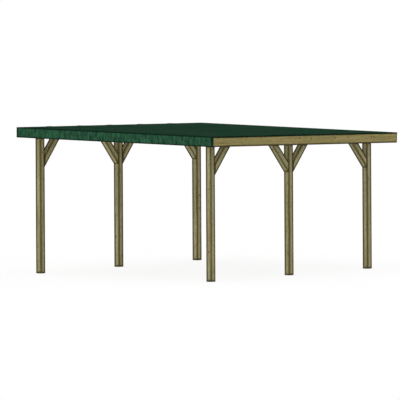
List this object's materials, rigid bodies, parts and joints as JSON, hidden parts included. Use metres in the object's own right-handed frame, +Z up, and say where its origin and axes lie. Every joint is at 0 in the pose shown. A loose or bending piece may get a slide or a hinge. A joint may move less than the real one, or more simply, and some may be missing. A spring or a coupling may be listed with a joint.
{
  "type": "carport",
  "caption": "Open timber carport: square posts with knee braces, sloping beams, notched rafters, and a low-pitched green felt roof with timber edge boards and a shingled front.",
  "frame": {"origin": "on the ground, under the middle of the roof", "axes": "+Z up, the front of the carport faces -Y, the roof falls towards +Y, +X is to the right seen from the front"},
  "size_m": [4.46, 5.009, 2.555],
  "materials": {
    "frame_timber": "matte",
    "roof_timber": "matte",
    "edge_board_timber": "matte",
    "roof_felt": "matte",
    "front_shingle": "matte"
  },
  "bodies": {
    "root": {"back_board": "edge_board_timber", "beam_left": "frame_timber", "beam_right": "frame_timber", "brace_back_left": "frame_timber", "brace_back_right": "frame_timber", "brace_front_left": "frame_timber", "brace_front_right": "frame_timber", "brace_middle_back_left": "frame_timber", "brace_middle_back_right": "frame_timber", "brace_middle_front_left": "frame_timber", "brace_middle_front_right": "frame_timber", "felt_strip_1": "roof_felt", "felt_strip_2": "roof_felt", "felt_strip_3": "roof_felt", "felt_strip_4": "roof_felt", "felt_strip_5": "roof_felt", "felt_strip_6": "roof_felt", "felt_turndown_back": "roof_felt", "felt_turndown_left": "roof_felt", "felt_turndown_right": "roof_felt", "front_board": "edge_board_timber", "post_back_left": "frame_timber", "post_back_right": "frame_timber", "post_front_left": "frame_timber", "post_front_right": "frame_timber", "post_middle_left": "frame_timber", "post_middle_right": "frame_timber", "rafter_1": "roof_timber", "rafter_2": "roof_timber", "rafter_3": "roof_timber", "rafter_4": "roof_timber", "rafter_5": "roof_timber", "rafter_6": "roof_timber", "rafter_7": "roof_timber", "rafter_8": "roof_timber", "roof_deck": "roof_timber", "shingle_course_lower": "front_shingle", "shingle_course_upper": "front_shingle", "shingle_starter": "front_shingle", "side_board_left": "edge_board_timber", "side_board_right": "edge_board_timber"}
  },
  "joints": []
}
